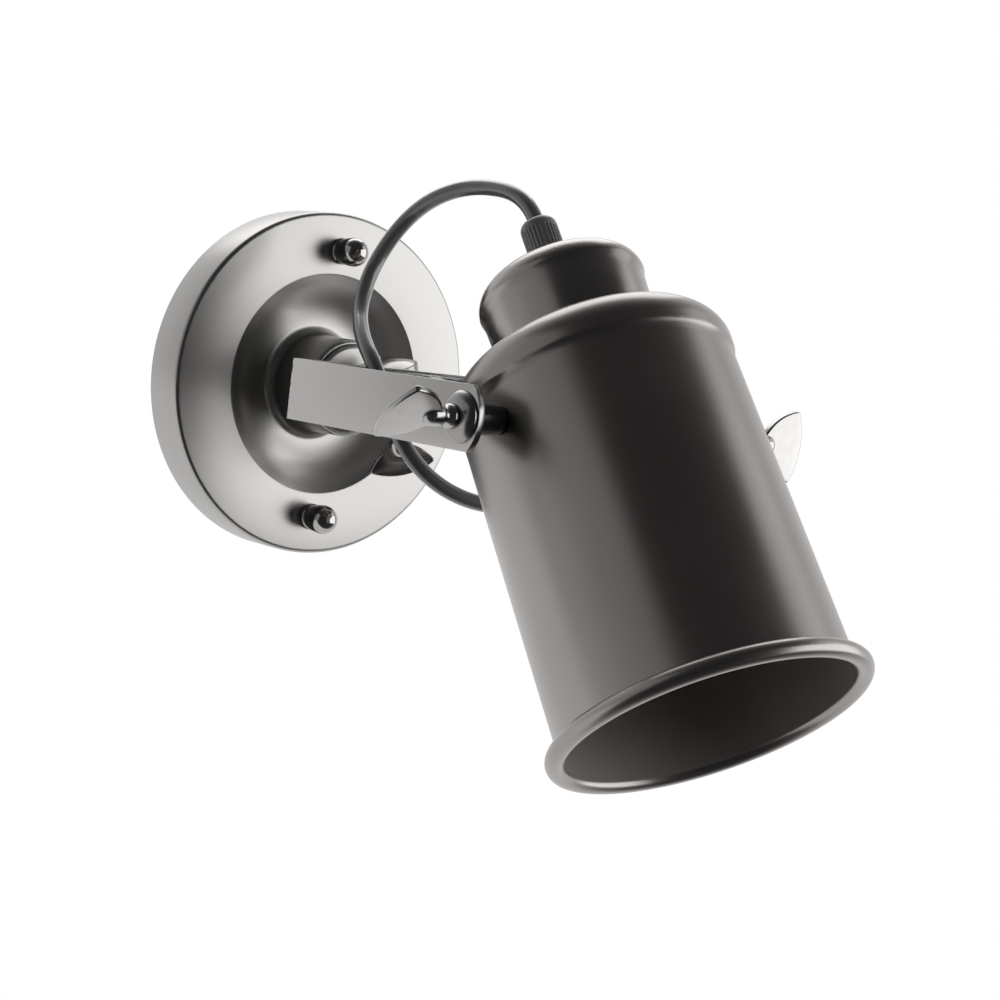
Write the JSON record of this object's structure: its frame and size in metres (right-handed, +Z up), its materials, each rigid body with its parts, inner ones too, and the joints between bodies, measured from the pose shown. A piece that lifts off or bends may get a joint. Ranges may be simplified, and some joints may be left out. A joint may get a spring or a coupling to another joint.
{
  "type": "adjustable wall lamp",
  "caption": "Wall lamp with a round domed wall cover, a knuckle joint, a U-shaped strap bracket and a can-shaped shade that tilts on thumb screws, with a looped flex.",
  "frame": {"origin": "on the wall, at the middle of the cover's back", "axes": "+Z up, +X to the right seen from the room, -Y out from the wall"},
  "size_m": [0.1646, 0.2629, 0.1786],
  "materials": {
    "pewter": "satin pewter lacquer on spun steel",
    "bronze": "satin black bronze plating on spun steel and strap",
    "black_metal": "polished black nickel on turned steel",
    "zinc_steel": "zinc plated",
    "brass": "plain",
    "white_plastic": "matte",
    "black_plastic": "satin black nylon",
    "holder_plastic": "black moulded resin",
    "rubber": "matte",
    "cord_plastic": "round flex with a smooth sheath"
  },
  "bodies": {
    "base": {"wall_cover": "pewter", "mounting_bar": "zinc_steel", "cover_studs": "zinc_steel", "stud_nuts": "zinc_steel", "ball_nuts": "black_metal", "terminal_block": "white_plastic", "earth_screw": "brass", "stem_washer": "zinc_steel", "stem_nut": "zinc_steel", "knuckle_fork": "black_metal", "knuckle_cup": "black_metal"},
    "knuckle_clamp": {"knuckle_screw": "black_metal"},
    "bracket": {"knuckle_tongue": "black_metal", "u_bracket": "bronze", "web_washer": "zinc_steel", "web_nut": "zinc_steel", "cord_bush": "black_plastic", "arm_cups": "black_metal", "arm_flanges": "zinc_steel", "power_cord": "cord_plastic"},
    "shade": {"lamp_shade": "bronze", "shade_cap": "bronze", "spacers": "black_plastic", "pivot_nuts": "zinc_steel", "grip_seal": "black_metal", "grip_nut": "black_plastic", "grip_sleeve": "rubber", "cap_nipple": "zinc_steel", "cap_nut": "zinc_steel", "lampholder": "holder_plastic", "screw_shell": "brass", "centre_contact": "brass", "holder_ring": "holder_plastic"},
    "left_clamp": {"thumb_screw_left": "black_metal"},
    "right_clamp": {"thumb_screw_right": "black_metal"}
  },
  "joints": [
    {"name": "bracket_swing", "type": "hinge", "parent": "base", "child": "bracket", "pos_m": [0, -0.057, 0], "axis": [-0.309, 0, 0.9511], "range_deg": [-50, 50]},
    {"name": "shade_tilt", "type": "hinge", "parent": "bracket", "child": "shade", "pos_m": [0, -0.1673, 0], "axis": [1, 0, 0], "range_deg": [-28, 60], "deforming": ["power_cord"]},
    {"name": "knuckle_screw_turn", "type": "hinge", "parent": "base", "child": "knuckle_clamp", "pos_m": [0, -0.057, 0], "axis": [-0.309, 0, 0.9511], "range_deg": [-180, 180]},
    {"name": "left_screw_turn", "type": "hinge", "parent": "shade", "child": "left_clamp", "pos_m": [-0.056, -0.1673, 0], "axis": [1, 0, 0], "range_deg": [-180, 180]},
    {"name": "right_screw_turn", "type": "hinge", "parent": "shade", "child": "right_clamp", "pos_m": [0.056, -0.1673, 0], "axis": [1, 0, 0], "range_deg": [-180, 180]}
  ]
}
